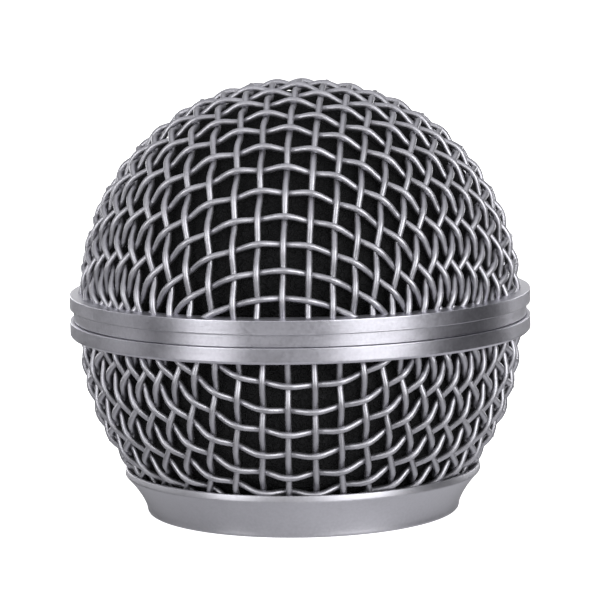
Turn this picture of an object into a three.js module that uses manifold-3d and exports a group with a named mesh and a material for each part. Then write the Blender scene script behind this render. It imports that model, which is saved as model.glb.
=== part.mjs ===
// Screw-on ball grille of a handheld dynamic microphone.
// Millimetres, +Z up. The origin is the centre of the collar's foot, which the grille stands on.
import * as THREE from 'three';
import { mergeVertices } from 'three/addons/utils/BufferGeometryUtils.js';
import Module from 'manifold-3d';

const wasm = await Module();
wasm.setup();

// ---- Driving dimensions ----
const ballRadius = 24.4; // outside of the wire cloth, dome and bowl alike
const clothThickness = 1.2; // two wires, one over the other
const clearance = 0.25; // between the cloth and whatever holds it
const domeCentreZ = 23.5;
const bowlCentreZ = 20;

const bandRadius = 25.5;
const bandTopZ = 24.7;
const bandBottomZ = 19.95;
const grooveTopZ = 23.08;
const grooveDepth = 0.42;
const seamZ = 21.7; // where the band's two rings meet, at the groove's lower edge
const seamGap = 0.1;

const collarHeight = 5.05;
const lipRadius = 19.8;
const footRadius = 17.4;
const collarBore = 16.2;
const channelFloorZ = 3.2; // the cloth's lower edge stands above it, inside the lip

const threadMajorRadius = 15.6;
const threadDepth = 0.55;
const threadPitch = 1;
const pressGap = 0.1; // between pieces that are pressed together

const foamRadius = 22.4;
const foamThickness = 2.5;
const foamBore = 15.2; // lets the microphone's cartridge through

// ---- Fineness ----
const ringSegments = 48;
const shellSegments = 40;
const threadStepsPerTurn = 24;

// ---- Finishes ----
const wireCloth = { color: 0xb6b6bd, roughness: 0.32, metalness: 1 };
const satinMetal = { color: 0xaaaab2, roughness: 0.38, metalness: 1 };
const turnedNickel = { color: 0xa8a8ac, roughness: 0.35, metalness: 1 };
const blackFoam = { color: 0x101012, roughness: 1, metalness: 0 };

const clothInnerRadius = ballRadius - clothThickness;
const bandBore = ballRadius + clearance;
const { degToRad, radToDeg } = THREE.MathUtils;

// ---- Geometry helpers ----

// A solid of revolution about Z. The outline is a list of [radius, height] points, anticlockwise.
function turned(outline, segments) {
  const closed = [...outline, outline[0]];
  const points = closed.map(([radius, height]) => new THREE.Vector2(radius, height));
  return new THREE.LatheGeometry(points, segments).rotateX(Math.PI / 2);
}

// Outline points on an arc about [radius, height], both ends included.
function arc([centreRadius, centreHeight], radius, fromDegrees, toDegrees, steps) {
  return Array.from({ length: steps + 1 }, (_, k) => {
    const angle = degToRad(fromDegrees + ((toDegrees - fromDegrees) * k) / steps);
    return [centreRadius + radius * Math.cos(angle), centreHeight + radius * Math.sin(angle)];
  });
}

// The outline of a ring of rectangular section.
function ringOutline(innerRadius, outerRadius, bottom, top) {
  return [[innerRadius, bottom], [outerRadius, bottom], [outerRadius, top], [innerRadius, top]];
}

// How far above the horizontal, in degrees, a sphere's surface reaches a height over its centre.
function elevation(height, sphereRadius) {
  return radToDeg(Math.asin(height / sphereRadius));
}

// A closed sweep through equal loops of points, each anticlockwise as seen from the next one.
function swept(loops) {
  const sides = loops[0].length;
  const lastLoop = (loops.length - 1) * sides;
  const index = [];
  for (let start = 0; start < lastLoop; start += sides) {
    for (let side = 0; side < sides; side += 1) {
      const next = (side + 1) % sides;
      index.push(start + side, start + next, start + sides + next);
      index.push(start + side, start + sides + next, start + sides + side);
    }
  }
  for (let side = 1; side < sides - 1; side += 1) {
    index.push(0, side + 1, side);
    index.push(lastLoop, lastLoop + side, lastLoop + side + 1);
  }
  const geometry = new THREE.BufferGeometry().setFromPoints(loops.flat());
  geometry.setIndex(index);
  return geometry;
}

function solidOf(geometry) {
  geometry.deleteAttribute('normal');
  geometry.deleteAttribute('uv');
  const merged = mergeVertices(geometry);
  const vertProperties = merged.attributes.position.array;
  const triVerts = new Uint32Array(merged.index.array);
  return new wasm.Manifold(new wasm.Mesh({ numProp: 3, vertProperties, triVerts }));
}

function joined(first, second) {
  const mesh = solidOf(first).add(solidOf(second)).getMesh();
  const geometry = new THREE.BufferGeometry();
  geometry.setAttribute('position', new THREE.BufferAttribute(mesh.vertProperties, mesh.numProp));
  geometry.setIndex(new THREE.BufferAttribute(mesh.triVerts, 1));
  return geometry;
}

function piece(name, geometry, finish, centreZ = 0) {
  geometry.computeVertexNormals();
  const mesh = new THREE.Mesh(geometry, new THREE.MeshStandardMaterial(finish));
  mesh.name = name;
  mesh.position.z = centreZ;
  return mesh;
}

// ---- Wire cloth: a dome, and a bowl that is open at its neck ----

const rimOverlap = 0.6; // how far the dome's rim reaches below its centre, behind the band

function domeMesh() {
  const outer = -elevation(rimOverlap, ballRadius);
  const inner = -elevation(rimOverlap, clothInnerRadius);
  return turned([
    ...arc([0, 0], ballRadius, outer, 90, 9),
    ...arc([0, 0], clothInnerRadius, 90, inner, 9),
  ], shellSegments);
}

function bowlMesh() {
  const top = rimOverlap + clearance;
  const edge = channelFloorZ + clearance - bowlCentreZ;
  return turned([
    ...arc([0, 0], ballRadius, elevation(edge, ballRadius), elevation(top, ballRadius), 6),
    ...arc([0, 0], clothInnerRadius, elevation(top, clothInnerRadius), elevation(edge, ballRadius), 6),
  ], shellSegments);
}

// ---- Band: two rings pressed together round both rims, and a sleeve that backs the cloth ----

const skirtRadius = bandBore + 0.25; // the upper ring's skirt, inside the lower ring
const skirtBottomZ = seamZ - 1.2;

function bandUpperRing() {
  const grooveRadius = bandRadius - grooveDepth;
  const seamEdgeZ = seamZ + seamGap / 2;
  const ribCorner = 0.12;
  const ledgeRise = 0.12; // the top slopes up to the cloth
  return turned([
    [bandBore, skirtBottomZ],
    [skirtRadius, skirtBottomZ],
    [skirtRadius, seamEdgeZ],
    [grooveRadius, seamEdgeZ],
    [grooveRadius, grooveTopZ],
    [bandRadius, grooveTopZ],
    [bandRadius, bandTopZ - ledgeRise - ribCorner],
    [bandRadius - ribCorner, bandTopZ - ledgeRise],
    [bandBore, bandTopZ],
  ], ringSegments);
}

function bandLowerRing() {
  const bevel = 0.25;
  const seamEdgeZ = seamZ - seamGap / 2;
  const socketRadius = skirtRadius + pressGap;
  const socketFloorZ = skirtBottomZ - pressGap;
  return turned([
    [bandBore, bandBottomZ],
    [bandRadius - bevel, bandBottomZ],
    [bandRadius, bandBottomZ + bevel],
    [bandRadius, seamEdgeZ],
    [socketRadius, seamEdgeZ],
    [socketRadius, socketFloorZ],
    [bandBore, socketFloorZ],
  ], ringSegments);
}

function clampSleeve() {
  const outer = clothInnerRadius - clearance;
  const wall = 0.4;
  return turned(ringOutline(outer - wall, outer, bandBottomZ, bandTopZ - 1), ringSegments);
}

// ---- Collar: a flared skirt with a rolled lip, which the bowl's neck stands in ----

function collar() {
  const footCorner = 0.35;
  const lipEdge = new THREE.Vector2(lipRadius - 0.34, collarHeight);
  const rollBase = new THREE.Vector2(lipRadius - 0.35, collarHeight - 1.42);
  const flare = new THREE.CubicBezierCurve(
    new THREE.Vector2(footRadius, footCorner),
    new THREE.Vector2(footRadius + 0.1, 1.5),
    new THREE.Vector2(rollBase.x - 1, rollBase.y - 0.83),
    rollBase,
  );
  const roll = new THREE.CubicBezierCurve(
    rollBase,
    new THREE.Vector2(rollBase.x + 0.45, rollBase.y + 0.37),
    new THREE.Vector2(lipRadius + 0.05, collarHeight - 0.45),
    lipEdge,
  );
  return turned([
    [collarBore, 0],
    ...arc([footRadius - footCorner, footCorner], footCorner, -90, -30, 2),
    ...flare.getPoints(5).map((point) => point.toArray()),
    ...roll.getPoints(4).slice(1).map((point) => point.toArray()),
    [lipEdge.x - 0.1, lipEdge.y - 0.05],
    [lipEdge.x - 0.84, channelFloorZ],
    [collarBore, channelFloorZ],
  ], ringSegments);
}

// ---- Thread insert: pressed into the collar, it screws onto the microphone's body ----

// A ridge that winds up the insert's wall, triangular in section and a little sunk into the wall.
function threadRidge(bottom, turns) {
  const root = threadMajorRadius + 0.3;
  const crest = threadMajorRadius - threadDepth;
  const halfBase = 0.45;
  const startTurn = 0.007; // keeps the ridge's corners off the wall's corners
  const steps = Math.round(turns * threadStepsPerTurn);
  return swept(Array.from({ length: steps + 1 }, (_, k) => {
    const turn = k / threadStepsPerTurn;
    const height = bottom + threadPitch * turn;
    const corners = [[root, height - halfBase], [crest, height], [root, height + halfBase]];
    const angle = 2 * Math.PI * (turn + startTurn);
    return corners.map(([radius, z]) => (
      new THREE.Vector3(radius * Math.cos(angle), radius * Math.sin(angle), z)
    ));
  }));
}

const insertTopZ = 4.6;

function threadInsert() {
  const bottom = 0.25;
  const leadIn = 0.55;
  const outer = collarBore - pressGap;
  const wall = turned(ringOutline(threadMajorRadius, outer, bottom, insertTopZ), ringSegments);
  const turns = (insertTopZ - bottom - 2 * leadIn) / threadPitch;
  return joined(wall, threadRidge(bottom + leadIn, turns));
}

// ---- Foam: a cap that lines the dome and a skirt that lines the bowl ----

const foamInnerRadius = foamRadius - foamThickness;
const foamJointZ = 21.3; // the cap and the skirt meet here, behind the band

function foamDome() {
  const edge = elevation(foamJointZ + clearance - domeCentreZ, foamRadius);
  return turned([
    ...arc([0, 0], foamRadius, edge, 90, 9),
    ...arc([0, 0], foamInnerRadius, 90, edge, 8),
  ], shellSegments);
}

function foamSkirt() {
  const bottom = insertTopZ + pressGap - bowlCentreZ;
  const top = elevation(foamJointZ - bowlCentreZ, foamRadius);
  const boreEdge = -radToDeg(Math.acos(foamBore / foamInnerRadius));
  return turned([
    [foamBore, bottom],
    ...arc([0, 0], foamRadius, elevation(bottom, foamRadius), top, 5),
    ...arc([0, 0], foamInnerRadius, top, boreEdge, 4),
  ], shellSegments);
}

// ---- The whole grille ----

const grille = new THREE.Group();
grille.add(
  piece('dome_mesh', domeMesh(), wireCloth, domeCentreZ),
  piece('bowl_mesh', bowlMesh(), wireCloth, bowlCentreZ),
  piece('band_upper_ring', bandUpperRing(), satinMetal),
  piece('band_lower_ring', bandLowerRing(), satinMetal),
  piece('clamp_sleeve', clampSleeve(), satinMetal),
  piece('collar', collar(), satinMetal),
  piece('thread_insert', threadInsert(), turnedNickel),
  piece('foam_dome', foamDome(), blackFoam, domeCentreZ),
  piece('foam_skirt', foamSkirt(), blackFoam, bowlCentreZ),
);

export default grille;
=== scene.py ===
"""The looks of a screw-on ball grille: woven wire, a grooved band, a threaded collar and foam linings."""

import math
import random

import bpy
import numpy as np
from mathutils import Matrix, Vector, noise


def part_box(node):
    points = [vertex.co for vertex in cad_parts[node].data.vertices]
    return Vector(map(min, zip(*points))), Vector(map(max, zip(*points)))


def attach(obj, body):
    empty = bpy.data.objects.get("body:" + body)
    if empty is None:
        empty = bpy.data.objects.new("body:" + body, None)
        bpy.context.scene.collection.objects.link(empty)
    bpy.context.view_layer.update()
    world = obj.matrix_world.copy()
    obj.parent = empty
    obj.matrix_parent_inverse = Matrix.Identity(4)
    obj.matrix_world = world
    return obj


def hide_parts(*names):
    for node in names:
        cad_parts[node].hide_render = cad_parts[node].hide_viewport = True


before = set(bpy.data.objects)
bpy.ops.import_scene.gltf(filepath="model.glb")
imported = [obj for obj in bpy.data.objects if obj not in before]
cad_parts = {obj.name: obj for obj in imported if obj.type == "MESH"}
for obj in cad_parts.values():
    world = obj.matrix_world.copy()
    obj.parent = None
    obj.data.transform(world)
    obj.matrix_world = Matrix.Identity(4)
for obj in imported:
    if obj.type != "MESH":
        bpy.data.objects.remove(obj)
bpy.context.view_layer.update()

MM = 0.001


def low(node):
    """A CAD node's lowest corner, in millimetres."""
    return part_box(node)[0] / MM


def high(node):
    """A CAD node's highest corner, in millimetres."""
    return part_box(node)[1] / MM


# ---- Sizes, in millimetres: the frame's own, and the finer ones that its boxes don't give ----

CLEARANCE = 0.25  # between the cloth and whatever holds it
PRESS_GAP = 0.1  # between pieces that are pressed together
RIM_OVERLAP = 0.6  # the dome's rim reaches this far past its centre, and the bowl's by the clearance more

BALL_RADIUS = high("dome_mesh").x
DOME_CENTRE_Z = high("dome_mesh").z - BALL_RADIUS
DOME_RIM_Z = low("dome_mesh").z
BOWL_RIM_Z = high("bowl_mesh").z
BOWL_NECK_Z = low("bowl_mesh").z
BOWL_CENTRE_Z = BOWL_RIM_Z - RIM_OVERLAP - CLEARANCE

BAND_RADIUS = high("band_upper_ring").x
BAND_TOP_Z = high("band_upper_ring").z
BAND_BOTTOM_Z = low("band_lower_ring").z
BAND_BORE = BALL_RADIUS + CLEARANCE
CAD_SEAM_GAP = 0.1
SEAM_GAP = 0.04  # finer than the CAD's, and in the same place
SEAM_Z = high("band_lower_ring").z + CAD_SEAM_GAP / 2
UPPER_RIB_HEIGHT = 1.62
GROOVE_TOP_Z = BAND_TOP_Z - UPPER_RIB_HEIGHT
GROOVE_DEPTH = 0.42
SKIRT_WALL = 0.25  # the upper ring's skirt, inside the lower ring
SKIRT_RADIUS = BAND_BORE + SKIRT_WALL
SKIRT_BOTTOM_Z = low("band_upper_ring").z

LIP_LAND_RISE = 0.03  # how far the lip's land stands out past the CAD's rolled lip
LIP_RADIUS = high("collar").x + LIP_LAND_RISE
COLLAR_HEIGHT = high("collar").z
FLARE = 2.4  # from the foot out to the lip
FOOT_RADIUS = LIP_RADIUS - FLARE
COLLAR_BORE = high("thread_insert").x + PRESS_GAP
CHANNEL_FLOOR_Z = BOWL_NECK_Z - CLEARANCE

INSERT_WALL = 0.5
THREAD_RADIUS = high("thread_insert").x - INSERT_WALL
THREAD_DEPTH = 0.55
THREAD_PITCH = 1.0

FOAM_THICKNESS = 2.5
FOAM_BORE = 15.2
FOAM_SWELL = 0.66  # how far the foam presses out towards the cloth, above and below the sleeve
FOAM_ROUGHNESS = 0.12  # the depth of each of the two noises on its surface
FOAM_RADIUS = high("foam_dome").x
FOAM_INNER_RADIUS = FOAM_RADIUS - FOAM_THICKNESS
FOAM_SWOLLEN_RADIUS = FOAM_RADIUS + FOAM_SWELL
FOAM_JOINT_Z = high("foam_skirt").z  # the cap and the lining meet here, behind the band

# ---- Wire cloth: how each half was drawn over its die. Angles are in degrees ----

WIRE_RADIUS = 0.35
CLOTH_DEPTH = 0.55  # from the ball's outside in to the middle of the cloth
CLOTH_RADIUS = BALL_RADIUS - CLOTH_DEPTH
STEPS_PER_SPACING = 6
WIRE_SIDES = 8
UNEVENNESS = 0.12  # how far the cloth strays from a perfect net
UNEVENNESS_SCALE = 2.5  # how quickly that changes over a sphere of radius 1
WIRE_WANDER = 0.035  # how far a wire strays from its place, in spacings
LAST_WIRE = 95  # how far from its pole a cloth's outermost wires are looked for
NET_REACH = 112  # how far from its pole a cloth's net is worked out
DOME_CLOTH = {
    "spacing": (6.6, 6.87),  # between warp wires and between weft wires
    "pull": (0.86, 0.86, 0.86),  # how far it only sheared, rather than stretched, along X, Y and Z
    "skew": -4.9,  # how far the weft is from square to the warp
    "phase": 0.0,
    "twist": -4.5,
    "lean": (0.0, 0.9),  # how far its pole is off the ball's axis, about X and about Y
    "even_side": 1,  # which way the even wires cross the first odd one
    "shoulder": 0.009,  # how far it stands out of a sphere halfway up, as a share of its radius
    "flat_top": 0.006,  # and how far it falls short at its pole
}
BOWL_CLOTH = {
    "spacing": (7.09, 6.49),
    "pull": (0.77, 0.14, 0.36),
    "skew": 3.5,
    "phase": 0.5,
    "twist": 0.0,
    "lean": (-2.6, -0.2),
    "even_side": 1,
    "shoulder": 0.0,
    "flat_top": 0.0,
}

SEED = 7  # of the wires' wander and of the cloth's unevenness
RING_SEGMENTS = 256
FOAM_SEGMENTS = 192
CORNER_STEPS = 5
FLAT_SHARE = 0.15  # how far past a rounded corner its close points lie, as a share of the corner
NEARLY_ZERO = 1e-9


# ---- Mesh helpers ----


def add_piece(name, vertices, faces, node, slot, material):
    """A smooth mesh, given in millimetres, that stands for a CAD node."""
    mesh = bpy.data.meshes.new(name)
    mesh.from_pydata([Vector(v) * MM for v in vertices], [], faces)
    mesh.validate()
    mesh.shade_smooth()
    mesh.materials.append(material)
    piece = bpy.data.objects.new(name, mesh)
    bpy.context.scene.collection.objects.link(piece)
    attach(piece, "root")
    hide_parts(node)
    return piece


def rounded(outline):
    """An outline of (radius, height, corner size) as points, with its corners rounded.

    A close point on each side of a corner keeps the flats shaded flat.
    """
    points = []
    for k, (radius, height, corner) in enumerate(outline):
        here = Vector((radius, height))
        if corner == 0:
            points.append(here)
            continue
        start = here + (Vector(outline[k - 1][:2]) - here).normalized() * corner
        end = here + (Vector(outline[(k + 1) % len(outline)][:2]) - here).normalized() * corner
        points.append(start * (1 + FLAT_SHARE) - here * FLAT_SHARE)
        for step in range(CORNER_STEPS + 1):
            t = step / CORNER_STEPS
            points.append(start * (1 - t) ** 2 + here * 2 * t * (1 - t) + end * t**2)
        points.append(end * (1 + FLAT_SHARE) - here * FLAT_SHARE)
    return points


def arc(centre, radius, from_degrees, to_degrees, steps):
    """Outline points on an arc about (radius, height), both ends included."""
    angles = [math.radians(a) for a in np.linspace(from_degrees, to_degrees, steps + 1)]
    return [Vector((centre[0] + radius * math.cos(a), centre[1] + radius * math.sin(a))) for a in angles]


def turned(points, segments=RING_SEGMENTS):
    """Vertices and faces of a closed outline, anticlockwise, turned about Z."""
    vertices = []
    faces = []
    count = len(points)
    for segment in range(segments):
        angle = 2 * math.pi * segment / segments
        vertices += [(r * math.cos(angle), r * math.sin(angle), z) for r, z in points]
        here = segment * count
        there = (segment + 1) % segments * count
        for k in range(count):
            after = (k + 1) % count
            faces.append((here + k, there + k, there + after, here + after))
    return vertices, faces


def swept(loops, first):
    """Vertices and faces of a closed sweep through equal loops, anticlockwise seen from the next one.

    The faces count their vertices from the first one's number.
    """
    sides = len(loops[0])
    faces = [tuple(range(first + sides - 1, first - 1, -1))]
    for start in range(first, first + (len(loops) - 1) * sides, sides):
        for side in range(sides):
            after = (side + 1) % sides
            faces.append((start + side, start + after, start + sides + after, start + sides + side))
    last = first + (len(loops) - 1) * sides
    faces.append(tuple(range(last, last + sides)))
    return [point for loop in loops for point in loop], faces


# ---- Materials ----

NOISE_SUM = (0.7, 1.3)  # the sum of two noises mostly lies between these


def new_node(tree, kind, inputs=None, **settings):
    """A shader node with its inputs set or linked."""
    made = tree.nodes.new(kind)
    for name, value in settings.items():
        setattr(made, name, value)
    for name, value in (inputs or {}).items():
        if isinstance(value, bpy.types.NodeSocket):
            tree.links.new(value, made.inputs[name])
        else:
            made.inputs[name].default_value = value
    return made


def new_material(name, base_colour, metallic, roughness):
    """A material with a Principled shader, and the tree to add its detail to."""
    material = bpy.data.materials.new(name)
    material.use_nodes = True
    tree = material.node_tree
    shader = tree.nodes["Principled BSDF"]
    shader.inputs["Base Color"].default_value = (*base_colour, 1)
    shader.inputs["Metallic"].default_value = metallic
    shader.inputs["Roughness"].default_value = roughness
    return material, tree, shader


def grain(tree, vector, scale, detail):
    """Noise from 0 to 1 with so many features a metre."""
    made = new_node(tree, "ShaderNodeTexNoise", {"Vector": vector, "Scale": scale, "Detail": detail})
    return made.outputs["Fac"]


def ramp(tree, value, lowest, highest, from_value, to_value):
    """The value carried from one range to another, and kept inside it."""
    inputs = {
        "Value": value,
        "From Min": lowest,
        "From Max": highest,
        "To Min": from_value,
        "To Max": to_value,
    }
    return new_node(tree, "ShaderNodeMapRange", inputs).outputs["Result"]


def tint(tree, value, dark, light):
    """A colour between dark and light."""
    made = new_node(tree, "ShaderNodeMix", {"Factor": value}, data_type="RGBA")
    made.inputs["A"].default_value = (*dark, 1)
    made.inputs["B"].default_value = (*light, 1)
    return made.outputs["Result"]


def added(tree, first, second):
    inputs = {0: first, 1: second}
    return new_node(tree, "ShaderNodeMath", inputs, operation="ADD").outputs["Value"]


def multiplied(tree, first, second):
    inputs = {0: first, 1: second}
    return new_node(tree, "ShaderNodeMath", inputs, operation="MULTIPLY").outputs["Value"]


def object_coordinates(tree):
    return new_node(tree, "ShaderNodeTexCoord").outputs["Object"]


def round_coordinates(tree, along, across):
    """Coordinates for marks that run round Z: stretched along the turn and close together across it."""
    place = new_node(tree, "ShaderNodeSeparateXYZ", {"Vector": object_coordinates(tree)}).outputs
    flat = new_node(tree, "ShaderNodeCombineXYZ", {"X": place["X"], "Y": place["Y"]}).outputs["Vector"]
    radius = new_node(tree, "ShaderNodeVectorMath", {0: flat}, operation="LENGTH").outputs["Value"]
    heading = new_node(tree, "ShaderNodeVectorMath", {0: flat}, operation="NORMALIZE").outputs["Vector"]
    stretched = new_node(
        tree, "ShaderNodeVectorMath", {0: heading, 1: (along, along, 0)}, operation="MULTIPLY"
    ).outputs["Vector"]
    raised = multiplied(tree, added(tree, place["Z"], radius), across)
    height = new_node(tree, "ShaderNodeCombineXYZ", {"Z": raised}).outputs["Vector"]
    return new_node(
        tree, "ShaderNodeVectorMath", {0: stretched, 1: height}, operation="ADD"
    ).outputs["Vector"]


def bumped(tree, shader, heights):
    """Bumps from a list of (value, strength, depth in metres), one on the other."""
    normal = None
    for value, strength, depth in heights:
        inputs = {"Height": value, "Strength": strength, "Distance": depth}
        if normal:
            inputs["Normal"] = normal
        normal = new_node(tree, "ShaderNodeBump", inputs).outputs["Normal"]
    tree.links.new(normal, shader.inputs["Normal"])


def varied(tree, shader, value, colours, roughnesses):
    """Colour and roughness that both follow the sum of two noises."""
    colour = tint(tree, ramp(tree, value, *NOISE_SUM, 0, 1), *colours)
    tree.links.new(colour, shader.inputs["Base Color"])
    tree.links.new(ramp(tree, value, *NOISE_SUM, *roughnesses), shader.inputs["Roughness"])


def satin_metal(name, dark, light, smooth, rough):
    """Plated metal, blasted over fine turning marks that run round its axis, with faint smudges."""
    material, tree, shader = new_material(name, light, 1.0, rough)
    fine = grain(tree, round_coordinates(tree, along=4.0, across=9000.0), scale=1.0, detail=4.0)
    coarse = grain(tree, round_coordinates(tree, along=2.5, across=2200.0), scale=1.0, detail=2.0)
    smudge = grain(tree, object_coordinates(tree), scale=160.0, detail=4.0)
    speck = grain(tree, object_coordinates(tree), scale=3200.0, detail=3.0)
    varied(tree, shader, added(tree, speck, smudge), (dark, light), (smooth, rough))
    bumped(tree, shader, [(fine, 0.2, 0.00003), (coarse, 0.08, 0.00006), (speck, 0.2, 0.00002)])
    shader.inputs["Anisotropic"].default_value = 0.5  # the turning marks spread light up and down
    shader.inputs["Anisotropic Rotation"].default_value = 0.25
    around = new_node(tree, "ShaderNodeTangent", direction_type="RADIAL", axis="Z").outputs["Tangent"]
    tree.links.new(around, shader.inputs["Tangent"])
    return material


def wire_metal():
    """Drawn and plated steel wire: smooth crests, duller and darker where it was never rubbed."""
    material, tree, shader = new_material("plated_wire", (0.62, 0.62, 0.65), 1.0, 0.3)
    cloud = grain(tree, object_coordinates(tree), scale=420.0, detail=4.0)
    pit = grain(tree, object_coordinates(tree), scale=5200.0, detail=3.0)
    colours = (0.35, 0.347, 0.374), (0.49, 0.486, 0.522)
    varied(tree, shader, added(tree, cloud, pit), colours, (0.40, 0.54))
    bumped(tree, shader, [(pit, 0.2, 0.00004)])
    return material


def insert_metal():
    """Nickel-plated brass with turning marks. The plating is warm and dull where it is thin."""
    material, tree, shader = new_material("turned_nickel", (0.55, 0.54, 0.52), 1.0, 0.35)
    marks = grain(tree, round_coordinates(tree, along=3.0, across=7000.0), scale=1.0, detail=3.0)
    thin = grain(tree, object_coordinates(tree), scale=240.0, detail=5.0)
    colour = tint(tree, ramp(tree, thin, 0.35, 0.7, 0, 1), (0.40, 0.37, 0.32), (0.58, 0.57, 0.55))
    tree.links.new(colour, shader.inputs["Base Color"])
    tree.links.new(ramp(tree, marks, 0.3, 0.7, 0.28, 0.45), shader.inputs["Roughness"])
    bumped(tree, shader, [(marks, 0.3, 0.00004)])
    return material


def foam_material():
    """Open-cell foam: black, dull and full of pores, with painted shade in the pores."""
    material, tree, shader = new_material("black_foam", (0.008, 0.008, 0.009), 0.0, 0.95)
    shader.inputs["Specular IOR Level"].default_value = 0.15
    cells = new_node(
        tree,
        "ShaderNodeTexVoronoi",
        {"Vector": object_coordinates(tree), "Scale": 1900.0},
        feature="DISTANCE_TO_EDGE",
    ).outputs["Distance"]
    # The cells' middles are painted darker than their walls: painted shade in the pores. The same walls also
    # give the bump.
    walls = ramp(tree, cells, 0.02, 0.22, 1, 0)
    mottle = grain(tree, object_coordinates(tree), scale=700.0, detail=4.0)
    pore_shade_and_mottle = multiplied(tree, walls, mottle)
    colour = tint(tree, pore_shade_and_mottle, (0.006, 0.006, 0.0065), (0.010, 0.010, 0.011))
    tree.links.new(colour, shader.inputs["Base Color"])
    bumped(tree, shader, [(walls, 0.9, 0.0003), (mottle, 0.5, 0.0003)])
    return material


# ---- Wire cloth ----


def sheared_net(count, steps):
    """One quadrant of a woven cloth that shears but doesn't stretch, on a unit sphere, pole up.

    Its first row and column are great circles. Every other crossing is the one diagonally before it,
    turned half round the line from the sphere's centre through the middle of its two neighbours.
    """
    net = np.zeros((count + 1, count + 1, 3))
    for i in range(count + 1):
        for j in range(count + 1):
            if i == 0 or j == 0:
                x, y = i * steps[0], j * steps[1]
                net[i, j] = (math.sin(x), math.sin(y), math.cos(x + y))
                continue
            middle = net[i, j - 1] + net[i - 1, j]
            middle /= max(np.linalg.norm(middle), NEARLY_ZERO)
            before = net[i - 1, j - 1]
            net[i, j] = 2 * before.dot(middle) * middle - before
    return net


def drawn_cloth(cloth):
    """Where a place on the drawn cloth, counted in steps from its pole, lies on a unit sphere.

    Along each axis the cloth lies between one that only shears, where its pull is 1, and one that
    stretches evenly, where its pull is 0.
    """
    steps = [math.radians(spacing) / STEPS_PER_SPACING for spacing in cloth["spacing"]]
    count = math.ceil(math.radians(NET_REACH) / min(steps))
    net = sheared_net(count, steps)
    i, j = np.meshgrid(np.arange(count + 1) * steps[0], np.arange(count + 1) * steps[1], indexing="ij")
    angle = np.hypot(i, j)
    heading = np.arctan2(j, i)
    even = np.stack([np.sin(angle) * np.cos(heading), np.sin(angle) * np.sin(heading), np.cos(angle)], -1)
    pull = np.array(cloth["pull"])
    drawn = pull * net + (1 - pull) * even
    drawn /= np.linalg.norm(drawn, axis=-1, keepdims=True)

    slant = math.tan(math.radians(cloth["skew"]))
    twist = Matrix.Rotation(math.radians(cloth["twist"]), 3, "Z")
    lean_x, lean_y = (Matrix.Rotation(math.radians(a), 3, axis) for a, axis in zip(cloth["lean"], "XY"))
    turn = lean_y @ lean_x @ twist

    def at(u, v):
        i, j = abs(u), abs(v)
        a, b = int(i), int(j)
        fu, fv = i - a, j - b
        near = drawn[a, b] * (1 - fv) + drawn[a, b + 1] * fv
        far = drawn[a + 1, b] * (1 - fv) + drawn[a + 1, b + 1] * fv
        x, y, z = near * (1 - fu) + far * fu
        x, y = math.copysign(x, u), math.copysign(y, v)
        return turn @ Vector((x, y + x * slant, z)).normalized()

    return at


def half_wire(at, way, rim_height, neck_height):
    """(step, point) pairs from a wire's middle out to the rim, without those over the neck hole."""
    run = []
    step = 0
    while (point := at(way * step)).z > rim_height:
        if point.z < neck_height:
            run.append((way * step, point))
        step += 1
    return run


def wire_runs(cloth, warp, rim_height, neck_height):
    """Every wire of one family as (wire number, run), cut in two where it would cross the neck hole."""
    at = drawn_cloth(cloth)
    runs = []
    last = math.ceil(LAST_WIRE / cloth["spacing"][0 if warp else 1])
    for number in range(-last, last + 1):
        wander = random.uniform(-WIRE_WANDER, WIRE_WANDER)
        place = (number + cloth["phase"] + wander) * STEPS_PER_SPACING

        def along(t, place=place):
            return at(place, t) if warp else at(t, place)

        back = half_wire(along, -1, rim_height, neck_height)
        front = half_wire(along, 1, rim_height, neck_height)
        if along(0).z < neck_height:
            runs.append((number, back[:0:-1] + front))
        else:
            runs += [(number, back[::-1]), (number, front)]
    return [(number, run) for number, run in runs if len(run) > STEPS_PER_SPACING]


def wire_loops(number, run, cloth, warp, settle):
    """Loops of points round one crimped wire. It goes over and under the wires that it crosses."""
    side = cloth["even_side"] * (1 if (number % 2 == 0) == warp else -1)
    spine = []
    for step, out in run:
        crossing = step / STEPS_PER_SPACING - cloth["phase"]
        wave = side * math.cos(math.pi * crossing)
        stray = noise.noise_vector(out * UNEVENNESS_SCALE) * UNEVENNESS
        swell = cloth["shoulder"] * (4 * out.z**2 * (1 - out.z**2)) - cloth["flat_top"] * out.z**4
        spine.append((out * (CLOTH_RADIUS * (1 + swell) + WIRE_RADIUS * wave) + stray, out))
    loops = []
    for k, (point, out) in enumerate(spine):
        ahead = spine[min(k + 1, len(spine) - 1)][0] - spine[max(k - 1, 0)][0]
        across = ahead.cross(out).normalized()
        up = across.cross(ahead).normalized()
        loop = []
        for corner in range(WIRE_SIDES):
            angle = 2 * math.pi * corner / WIRE_SIDES
            rim = (up * math.cos(angle) - across * math.sin(angle)) * WIRE_RADIUS
            loop.append(settle(point + rim))
        loops.append(loop)
    return loops


def add_wires(name, node, cloth, warp, edges, settle, material):
    """One family of a cloth's wires, from its rim to its neck hole, as one piece."""
    rim_height, neck_height = (height / CLOTH_RADIUS for height in edges)
    vertices = []
    faces = []
    for number, run in wire_runs(cloth, warp, rim_height, neck_height):
        loops = wire_loops(number, run, cloth, warp, settle)
        more_vertices, more_faces = swept(loops, len(vertices))
        vertices += more_vertices
        faces += more_faces
    return add_piece(name, vertices, faces, node, "wire_cloth", material)


def settled(centre_z, turned_over):
    """Carries a cloth from its own sphere, pole up, to its place in the ball."""
    flip = Matrix.Diagonal((1, -1, -1)) if turned_over else Matrix.Identity(3)
    return lambda point: flip @ point + Vector((0, 0, centre_z))


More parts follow.
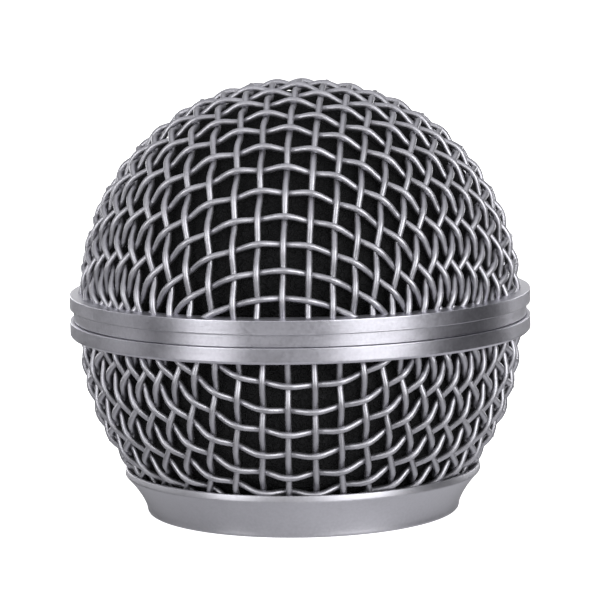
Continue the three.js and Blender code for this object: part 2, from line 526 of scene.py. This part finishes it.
def make_cloths():
    material = wire_metal()
    dome = settled(DOME_CENTRE_Z, False)
    dome_edges = (DOME_RIM_Z - DOME_CENTRE_Z, 2 * CLOTH_RADIUS)  # the dome has no neck hole
    bowl = settled(BOWL_CENTRE_Z, True)
    bowl_edges = (BOWL_CENTRE_Z - BOWL_RIM_Z, BOWL_CENTRE_Z - BOWL_NECK_Z)
    for family, warp in (("warp", True), ("weft", False)):
        add_wires(f"dome_{family}_wires", "dome_mesh", DOME_CLOTH, warp, dome_edges, dome, material)
        add_wires(f"bowl_{family}_wires", "bowl_mesh", BOWL_CLOTH, warp, bowl_edges, bowl, material)


# ---- Band ----


LEDGE_RADIUS = CLOTH_RADIUS - WIRE_RADIUS  # the band's ledges close on the wires


def add_upper_ring(material):
    groove_radius = BAND_RADIUS - GROOVE_DEPTH
    skirt_top = SEAM_Z + SEAM_GAP / 2
    ledge_rise = 0.12
    ledge_bottom = BAND_TOP_Z - 0.8
    outline = rounded([
        (BAND_BORE, SKIRT_BOTTOM_Z, 0),
        (SKIRT_RADIUS, SKIRT_BOTTOM_Z, 0.05),
        (SKIRT_RADIUS, skirt_top, 0),
        (groove_radius, skirt_top, 0.06),
        (groove_radius, GROOVE_TOP_Z, 0.08),
        (BAND_RADIUS, GROOVE_TOP_Z, 0.08),
        (BAND_RADIUS, BAND_TOP_Z - ledge_rise, 0.08),
        (LEDGE_RADIUS, BAND_TOP_Z, 0.1),
        (LEDGE_RADIUS, ledge_bottom, 0),
        (BAND_BORE, ledge_bottom, 0),
    ])
    add_piece("band_upper", *turned(outline), "band_upper_ring", "band_metal", material)


def add_lower_ring(material):
    bevel = 0.25
    corner = 0.08
    skirt_gap = 0.06  # round the upper ring's skirt
    rib_top = SEAM_Z - SEAM_GAP / 2
    socket_radius = SKIRT_RADIUS + skirt_gap
    socket_floor = SKIRT_BOTTOM_Z - skirt_gap
    outline = rounded([
        (LEDGE_RADIUS, BAND_BOTTOM_Z, corner),
        (BAND_RADIUS - bevel, BAND_BOTTOM_Z, corner),
        (BAND_RADIUS, BAND_BOTTOM_Z + bevel, corner),
        (BAND_RADIUS, rib_top, 0.07),
        (socket_radius, rib_top, 0),
        (socket_radius, socket_floor, 0),
        (LEDGE_RADIUS, socket_floor, 0),
    ])
    add_piece("band_lower", *turned(outline), "band_lower_ring", "band_metal", material)


def add_sleeve(material):
    bottom, top = low("clamp_sleeve").z, high("clamp_sleeve").z
    radius = high("clamp_sleeve").x
    wall = 0.4
    corner = 0.1
    outline = rounded([
        (radius - wall, bottom, corner),
        (radius, bottom, corner),
        (radius, top, corner),
        (radius - wall, top, corner),
    ])
    add_piece("sleeve", *turned(outline), "clamp_sleeve", "band_metal", material)


def make_band():
    material = satin_metal("satin_band", (0.46, 0.455, 0.50), (0.56, 0.553, 0.605), 0.30, 0.40)
    add_upper_ring(material)
    add_lower_ring(material)
    add_sleeve(material)


# ---- Collar and its thread insert ----


def bezier(points, steps):
    """Points on a cubic curve."""
    curve = []
    for t in np.linspace(0, 1, steps + 1):
        weights = ((1 - t) ** 3, 3 * t * (1 - t) ** 2, 3 * t * t * (1 - t), t**3)
        curve.append(sum((Vector(p) * w for p, w in zip(points, weights)), Vector((0, 0))))
    return curve


def make_collar():
    material = satin_metal("satin_collar", (0.46, 0.456, 0.49), (0.53, 0.525, 0.565), 0.44, 0.52)
    chamfer = 0.3
    foot_corner = 0.35
    flare_run = 0.85  # the flare comes out at 45 degrees over this width, below the land
    land_inset = 0.1  # from the lip's outside in to where the flare ends
    land_drop = 0.84  # from the lip's top down to the same place
    lip_corner = 0.14
    lip_lean = 0.06  # how far the lip's land leans in, towards its top
    base_radius, base_z = LIP_RADIUS - land_inset, COLLAR_HEIGHT - land_drop
    flare = bezier(
        [
            (FOOT_RADIUS, foot_corner),
            (FOOT_RADIUS + 0.1, 1.5),
            (base_radius - flare_run, base_z - flare_run),
            (base_radius, base_z),
        ],
        24,
    )
    land = bezier(
        [
            (base_radius, base_z),
            (base_radius + 0.09, base_z + 0.09),
            (LIP_RADIUS, base_z + 0.16),
            (LIP_RADIUS, base_z + 0.28),
        ],
        8,
    )
    outline = [
        Vector((COLLAR_BORE, chamfer)),
        Vector((COLLAR_BORE + chamfer, 0)),
        *arc((FOOT_RADIUS - foot_corner, foot_corner), foot_corner, -90, 0, 8),
        *flare[1:-1],
        *land,
        *arc((LIP_RADIUS - lip_lean - lip_corner, COLLAR_HEIGHT - lip_corner), lip_corner, 5, 90, 6),
        Vector((LIP_RADIUS - 0.38, COLLAR_HEIGHT - 0.02)),
        Vector((LIP_RADIUS - 0.42, COLLAR_HEIGHT - 0.08)),
        Vector((LIP_RADIUS - 1.1, CHANNEL_FLOOR_Z + 0.1)),
        Vector((LIP_RADIUS - 1.3, CHANNEL_FLOOR_Z)),
        Vector((COLLAR_BORE, CHANNEL_FLOOR_Z)),
    ]
    add_piece("flared_collar", *turned(outline), "collar", "collar_metal", material)


def thread_loops(bottom, top):
    """Loops of points along the thread's ridge, which grows out of the wall and sinks back into it."""
    lead_in = 0.55
    half_base = 0.4
    half_crest = 0.08
    steps_per_turn = 96
    fade = steps_per_turn / 8
    root = THREAD_RADIUS + 0.05  # a little inside the wall
    crest = root - THREAD_DEPTH
    section = [(root, -half_base), (crest, -half_crest), (crest, half_crest), (root, half_base)]
    steps = round((top - bottom - 2 * lead_in) / THREAD_PITCH * steps_per_turn)
    loops = []
    for k in range(steps + 1):
        angle = 2 * math.pi * k / steps_per_turn
        height = bottom + lead_in + THREAD_PITCH * k / steps_per_turn
        size = min(1, (k + 1) / fade, (steps - k + 1) / fade)
        loops.append([
            (
                (root + (radius - root) * size) * math.cos(angle),
                (root + (radius - root) * size) * math.sin(angle),
                height + rise * size,
            )
            for radius, rise in section
        ])
    return loops


def make_insert():
    bottom, top = low("thread_insert").z, high("thread_insert").z
    outer = COLLAR_BORE - 0.04  # the line between the two pieces is finer than the CAD's gap
    bore_corner = 0.3
    wall = rounded([
        (THREAD_RADIUS, bottom, bore_corner),
        (outer, bottom, 0.1),
        (outer, top, 0.15),
        (THREAD_RADIUS, top, bore_corner),
    ])
    vertices, faces = turned(wall)
    more_vertices, more_faces = swept(thread_loops(bottom, top), len(vertices))
    vertices += more_vertices
    faces += more_faces
    add_piece("threaded_ring", vertices, faces, "thread_insert", "insert_metal", insert_metal())


# ---- Foam ----


def roughened(vertices, depth):
    """Vertices pushed in and out by noise, as on cut foam."""
    moved = []
    for vertex in vertices:
        point = Vector(vertex)
        coarse = noise.noise(point * 0.5) * depth
        fine = noise.noise(point * 2.1) * depth
        moved.append(point + point.normalized() * (coarse + fine))
    return moved


def elevation(z, centre_z, radius):
    """How far above the horizontal, in degrees, a sphere's surface reaches a height."""
    return math.degrees(math.asin((z - centre_z) / radius))


NEAR_POLE = 89.9  # degrees; the outline stops just short of the axis that it turns about
FOAM_SHOULDER = math.degrees(math.acos(FOAM_RADIUS / FOAM_SWOLLEN_RADIUS))


def add_cap(material):
    centre = (0, DOME_CENTRE_Z)
    edge_z = FOAM_JOINT_Z + CLEARANCE
    edge = elevation(edge_z, DOME_CENTRE_Z, FOAM_INNER_RADIUS)
    outline = (
        [Vector((FOAM_RADIUS, edge_z))]
        + arc(centre, FOAM_SWOLLEN_RADIUS, FOAM_SHOULDER, NEAR_POLE, 64)
        + arc(centre, FOAM_INNER_RADIUS, NEAR_POLE, edge, 48)
    )
    vertices, faces = turned(outline, FOAM_SEGMENTS)
    return add_piece("foam_cap", roughened(vertices, FOAM_ROUGHNESS), faces, "foam_dome", "foam", material)


def add_lining(material):
    centre = (0, BOWL_CENTRE_Z)
    bottom_z = low("foam_skirt").z
    foot_z = CHANNEL_FLOOR_Z + 0.1  # a foot fills the corner between the thread insert and the cloth
    foot_radius = COLLAR_BORE + 0.05
    foot_width = 0.45
    swell_z = COLLAR_HEIGHT + 1  # the lining meets the cloth this high up
    rim = elevation(FOAM_JOINT_Z, BOWL_CENTRE_Z, FOAM_RADIUS)
    neck = elevation(swell_z, BOWL_CENTRE_Z, FOAM_SWOLLEN_RADIUS)
    bore = -math.degrees(math.acos(FOAM_BORE / FOAM_INNER_RADIUS))
    outline = [
        Vector((FOAM_BORE, bottom_z)),
        Vector((foot_radius, bottom_z)),
        Vector((foot_radius, foot_z)),
        Vector((foot_radius + foot_width, foot_z)),
        *arc(centre, FOAM_SWOLLEN_RADIUS, neck, -FOAM_SHOULDER / 2, 48),
        *arc(centre, FOAM_RADIUS, FOAM_SHOULDER / 8, rim, 4),
        *arc(centre, FOAM_INNER_RADIUS, rim, bore, 36),
    ]
    vertices, faces = turned(outline, FOAM_SEGMENTS)
    return add_piece(
        "foam_lining", roughened(vertices, FOAM_ROUGHNESS), faces, "foam_skirt", "foam", material
    )


def make_foam():
    material = foam_material()
    for piece in (add_cap(material), add_lining(material)):
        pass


# ---- Camera, floor and light ----

TARGET = Vector((0, 0, 23.3)) * MM
CAMERA_DISTANCE = 0.36
CAMERA_ELEVATION = 7.7
CAMERA_ROLL = -0.97
CAMERA_LENS = 194.616  # millimetres, as is the sensor
SENSOR_WIDTH = 36.0

FLOOR_GLOW = 0.95
TABLE_LIGHT = (0.47, 0.77)  # on the left, and from the middle to the right
TABLE_BLEND = (-0.8, 0)  # from the one to the other, as sines of the angle to the right
ROOM_LIGHT = 0.06
CEILING_LIGHT = 0.95
TABLE_EDGE = (-0.5, -0.25)  # sines of the slopes between which the table gives way to the room
CEILING_EDGE = (0.35, 0.9)  # and those between which the room gives way to the ceiling
SOFTBOX_DISTANCE = 0.6
SOFTBOXES = (  # name, azimuth in degrees, width and height in metres, radiance
    ("left_key", -46, 0.27, 0.36, 5.7),
    ("right_key", 37, 0.47, 0.40, 6.0),
    ("front_fill", -8, 0.3, 0.4, 0.9),
    ("left_side", -105, 0.5, 0.2, 1.7),
    ("back_left", -150, 0.4, 0.13, 3.5),
    ("back_right", 138, 0.4, 0.13, 3.7),
    ("backdrop", 180, 0.5, 0.3, 0.8),
)


def make_camera():
    elevation = math.radians(CAMERA_ELEVATION)
    roll = math.radians(CAMERA_ROLL)
    back = Vector((0, -math.cos(elevation), math.sin(elevation)))
    level = Vector((1, 0, 0))
    upright = back.cross(level)
    right = level * math.cos(roll) + upright * math.sin(roll)
    up = upright * math.cos(roll) - level * math.sin(roll)
    data = bpy.data.cameras.new("camera")
    data.sensor_width = SENSOR_WIDTH
    data.lens = CAMERA_LENS
    camera = bpy.data.objects.new("camera", data)
    bpy.context.scene.collection.objects.link(camera)
    axes = Matrix((right, up, back)).transposed().to_4x4()
    camera.matrix_world = Matrix.Translation(TARGET + back * CAMERA_DISTANCE) @ axes
    bpy.context.scene.camera = camera


def make_floor():
    size = 3.0
    corners = [(-size, -size, 0), (size, -size, 0), (size, size, 0), (-size, size, 0)]
    mesh = bpy.data.meshes.new("floor")
    mesh.from_pydata(corners, [], [(0, 1, 2, 3)])
    material, tree, shader = new_material("pale_floor", (0.8, 0.8, 0.8), 0.0, 0.9)
    shader.inputs["Emission Color"].default_value = (1, 1, 1, 1)
    shader.inputs["Emission Strength"].default_value = FLOOR_GLOW
    mesh.materials.append(material)
    floor = bpy.data.objects.new("floor", mesh)
    floor.visible_glossy = False  # the metal mirrors the world's table, which ends nearer
    bpy.context.scene.collection.objects.link(floor)


def add_softbox(name, azimuth, width, height, radiance):
    """A rectangular light that stands on the floor. Azimuth 0 is in front of the grille, +90 on its right."""
    data = bpy.data.lights.new(name, "AREA")
    data.shape = "RECTANGLE"
    data.size, data.size_y = width, height
    data.energy = math.pi * width * height * radiance
    light = bpy.data.objects.new(name, data)
    bpy.context.scene.collection.objects.link(light)
    turn = math.radians(azimuth)
    ahead = Vector((math.sin(turn), -math.cos(turn), 0))
    light.location = ahead * SOFTBOX_DISTANCE + Vector((0, 0, height / 2))
    light.rotation_euler = (light.location - TARGET).to_track_quat("Z", "Y").to_euler()
    light.visible_camera = False


def make_world():
    """White behind the grille. In its reflections, a pale table below and a dim room above."""
    world = bpy.data.worlds.new("studio")
    world.use_nodes = True
    tree = world.node_tree
    way = new_node(tree, "ShaderNodeTexCoord").outputs["Generated"]
    parts = new_node(tree, "ShaderNodeSeparateXYZ", {"Vector": way}).outputs
    table = ramp(tree, parts["X"], *TABLE_BLEND, *TABLE_LIGHT)
    shade = tree.nodes["Background"]
    shade.inputs["Color"].default_value = (0.97, 0.97, 1.0, 1)
    room = ramp(tree, parts["Z"], *CEILING_EDGE, ROOM_LIGHT, CEILING_LIGHT)
    light = ramp(tree, parts["Z"], *TABLE_EDGE, table, room)
    tree.links.new(light, shade.inputs["Strength"])
    white = new_node(tree, "ShaderNodeBackground", {"Color": (1, 1, 1, 1), "Strength": 1.0})
    seen = new_node(tree, "ShaderNodeLightPath").outputs["Is Camera Ray"]
    mix = new_node(tree, "ShaderNodeMixShader", {0: seen, 1: shade.outputs[0], 2: white.outputs[0]})
    tree.links.new(mix.outputs[0], tree.nodes["World Output"].inputs["Surface"])
    bpy.context.scene.world = world
    bpy.context.scene.view_settings.view_transform = "Standard"


def make_light():
    for softbox in SOFTBOXES:
        add_softbox(*softbox)


# ---- The whole scene ----

random.seed(SEED)
noise.seed_set(SEED)  # without it, the cloth's unevenness would follow the clock
make_camera()
make_floor()
make_light()
make_world()
make_cloths()
make_band()
make_collar()
make_insert()
make_foam()
